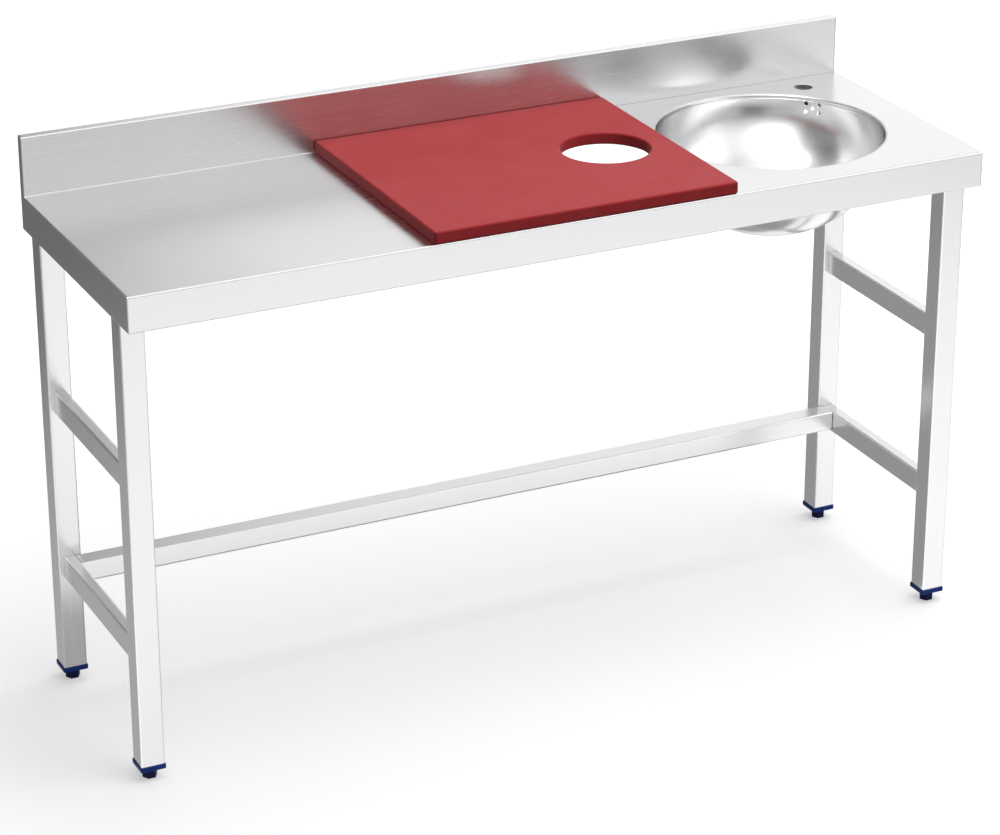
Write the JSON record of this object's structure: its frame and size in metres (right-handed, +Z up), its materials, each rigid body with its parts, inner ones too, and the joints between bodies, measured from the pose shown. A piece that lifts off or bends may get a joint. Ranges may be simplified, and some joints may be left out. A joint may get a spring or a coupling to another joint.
{
  "type": "sink table",
  "caption": "Stainless steel table with a round sink bowl, rear upstand, loose cutting board with a round bore, square tube legs, side rails and screw feet.",
  "frame": {"origin": "on the floor, under the middle of the worktop", "axes": "+X along the table to the bowl's end, +Y from the front to the upstand, +Z up"},
  "size_m": [1.5, 0.5, 0.95],
  "materials": {
    "stainless_sheet": "satin brushed along the length",
    "stainless_tube": "satin brushed along each tube",
    "zinc_steel": "bright zinc plated",
    "red_plastic": "matt polyethylene",
    "blue_plastic": "moulded polyamide",
    "navy_plastic": "moulded polyamide",
    "black_rubber": "matt"
  },
  "bodies": {
    "table": {"worktop": "stainless_sheet", "sink_bowl": "stainless_sheet", "waste_strainer": "stainless_sheet", "waste_lock_ring": "stainless_sheet", "cross_channel_1": "stainless_sheet", "cross_channel_2": "stainless_sheet", "cross_channel_3": "stainless_sheet", "leg_bracket_front_left": "stainless_sheet", "leg_bracket_front_right": "stainless_sheet", "leg_bracket_rear_left": "stainless_sheet", "leg_bracket_rear_right": "stainless_sheet", "leg_front_left": "stainless_tube", "leg_front_right": "stainless_tube", "leg_rear_left": "stainless_tube", "leg_rear_right": "stainless_tube", "upper_side_rail_left": "stainless_tube", "upper_side_rail_right": "stainless_tube", "lower_side_rail_left": "stainless_tube", "lower_side_rail_right": "stainless_tube", "long_rail": "stainless_tube", "leg_bolt_front_left_upper": "zinc_steel", "leg_bolt_front_left_lower": "zinc_steel", "leg_bolt_front_right_upper": "zinc_steel", "leg_bolt_front_right_lower": "zinc_steel", "leg_bolt_rear_left_upper": "zinc_steel", "leg_bolt_rear_left_lower": "zinc_steel", "leg_bolt_rear_right_upper": "zinc_steel", "leg_bolt_rear_right_lower": "zinc_steel", "foot_insert_front_left": "blue_plastic", "foot_insert_front_right": "blue_plastic", "foot_insert_rear_left": "blue_plastic", "foot_insert_rear_right": "blue_plastic", "waste_seal": "black_rubber"},
    "board": {"cutting_board": "red_plastic"},
    "stud_front_left": {"foot_stud_front_left": "zinc_steel"},
    "foot_front_left": {"foot_pad_front_left": "navy_plastic"},
    "stud_front_right": {"foot_stud_front_right": "zinc_steel"},
    "foot_front_right": {"foot_pad_front_right": "navy_plastic"},
    "stud_rear_left": {"foot_stud_rear_left": "zinc_steel"},
    "foot_rear_left": {"foot_pad_rear_left": "navy_plastic"},
    "stud_rear_right": {"foot_stud_rear_right": "zinc_steel"},
    "foot_rear_right": {"foot_pad_rear_right": "navy_plastic"}
  },
  "joints": [
    {"name": "board_lift", "type": "slide", "parent": "table", "child": "board", "axis": [0, 0, 1], "range_m": [0, 0.15]},
    {"name": "foot_slide_front_left", "type": "slide", "parent": "table", "child": "stud_front_left", "axis": [0, 0, -1], "range_m": [0, 0.024]},
    {"name": "foot_turn_front_left", "type": "hinge", "parent": "stud_front_left", "child": "foot_front_left", "pos_m": [-0.728, -0.184, 0], "axis": [0, 0, -1], "range_deg": [0, 5760]},
    {"name": "foot_slide_front_right", "type": "slide", "parent": "table", "child": "stud_front_right", "axis": [0, 0, -1], "range_m": [0, 0.024]},
    {"name": "foot_turn_front_right", "type": "hinge", "parent": "stud_front_right", "child": "foot_front_right", "pos_m": [0.728, -0.184, 0], "axis": [0, 0, -1], "range_deg": [0, 5760]},
    {"name": "foot_slide_rear_left", "type": "slide", "parent": "table", "child": "stud_rear_left", "axis": [0, 0, -1], "range_m": [0, 0.024]},
    {"name": "foot_turn_rear_left", "type": "hinge", "parent": "stud_rear_left", "child": "foot_rear_left", "pos_m": [-0.728, 0.1925, 0], "axis": [0, 0, -1], "range_deg": [0, 5760]},
    {"name": "foot_slide_rear_right", "type": "slide", "parent": "table", "child": "stud_rear_right", "axis": [0, 0, -1], "range_m": [0, 0.024]},
    {"name": "foot_turn_rear_right", "type": "hinge", "parent": "stud_rear_right", "child": "foot_rear_right", "pos_m": [0.728, 0.1925, 0], "axis": [0, 0, -1], "range_deg": [0, 5760]}
  ],
  "couplings": [
    {"joint": "foot_turn_front_left", "follows": "foot_slide_front_left", "rad_per_m": 4188.8},
    {"joint": "foot_turn_front_right", "follows": "foot_slide_front_right", "rad_per_m": 4188.8},
    {"joint": "foot_turn_rear_left", "follows": "foot_slide_rear_left", "rad_per_m": 4188.8},
    {"joint": "foot_turn_rear_right", "follows": "foot_slide_rear_right", "rad_per_m": 4188.8}
  ]
}
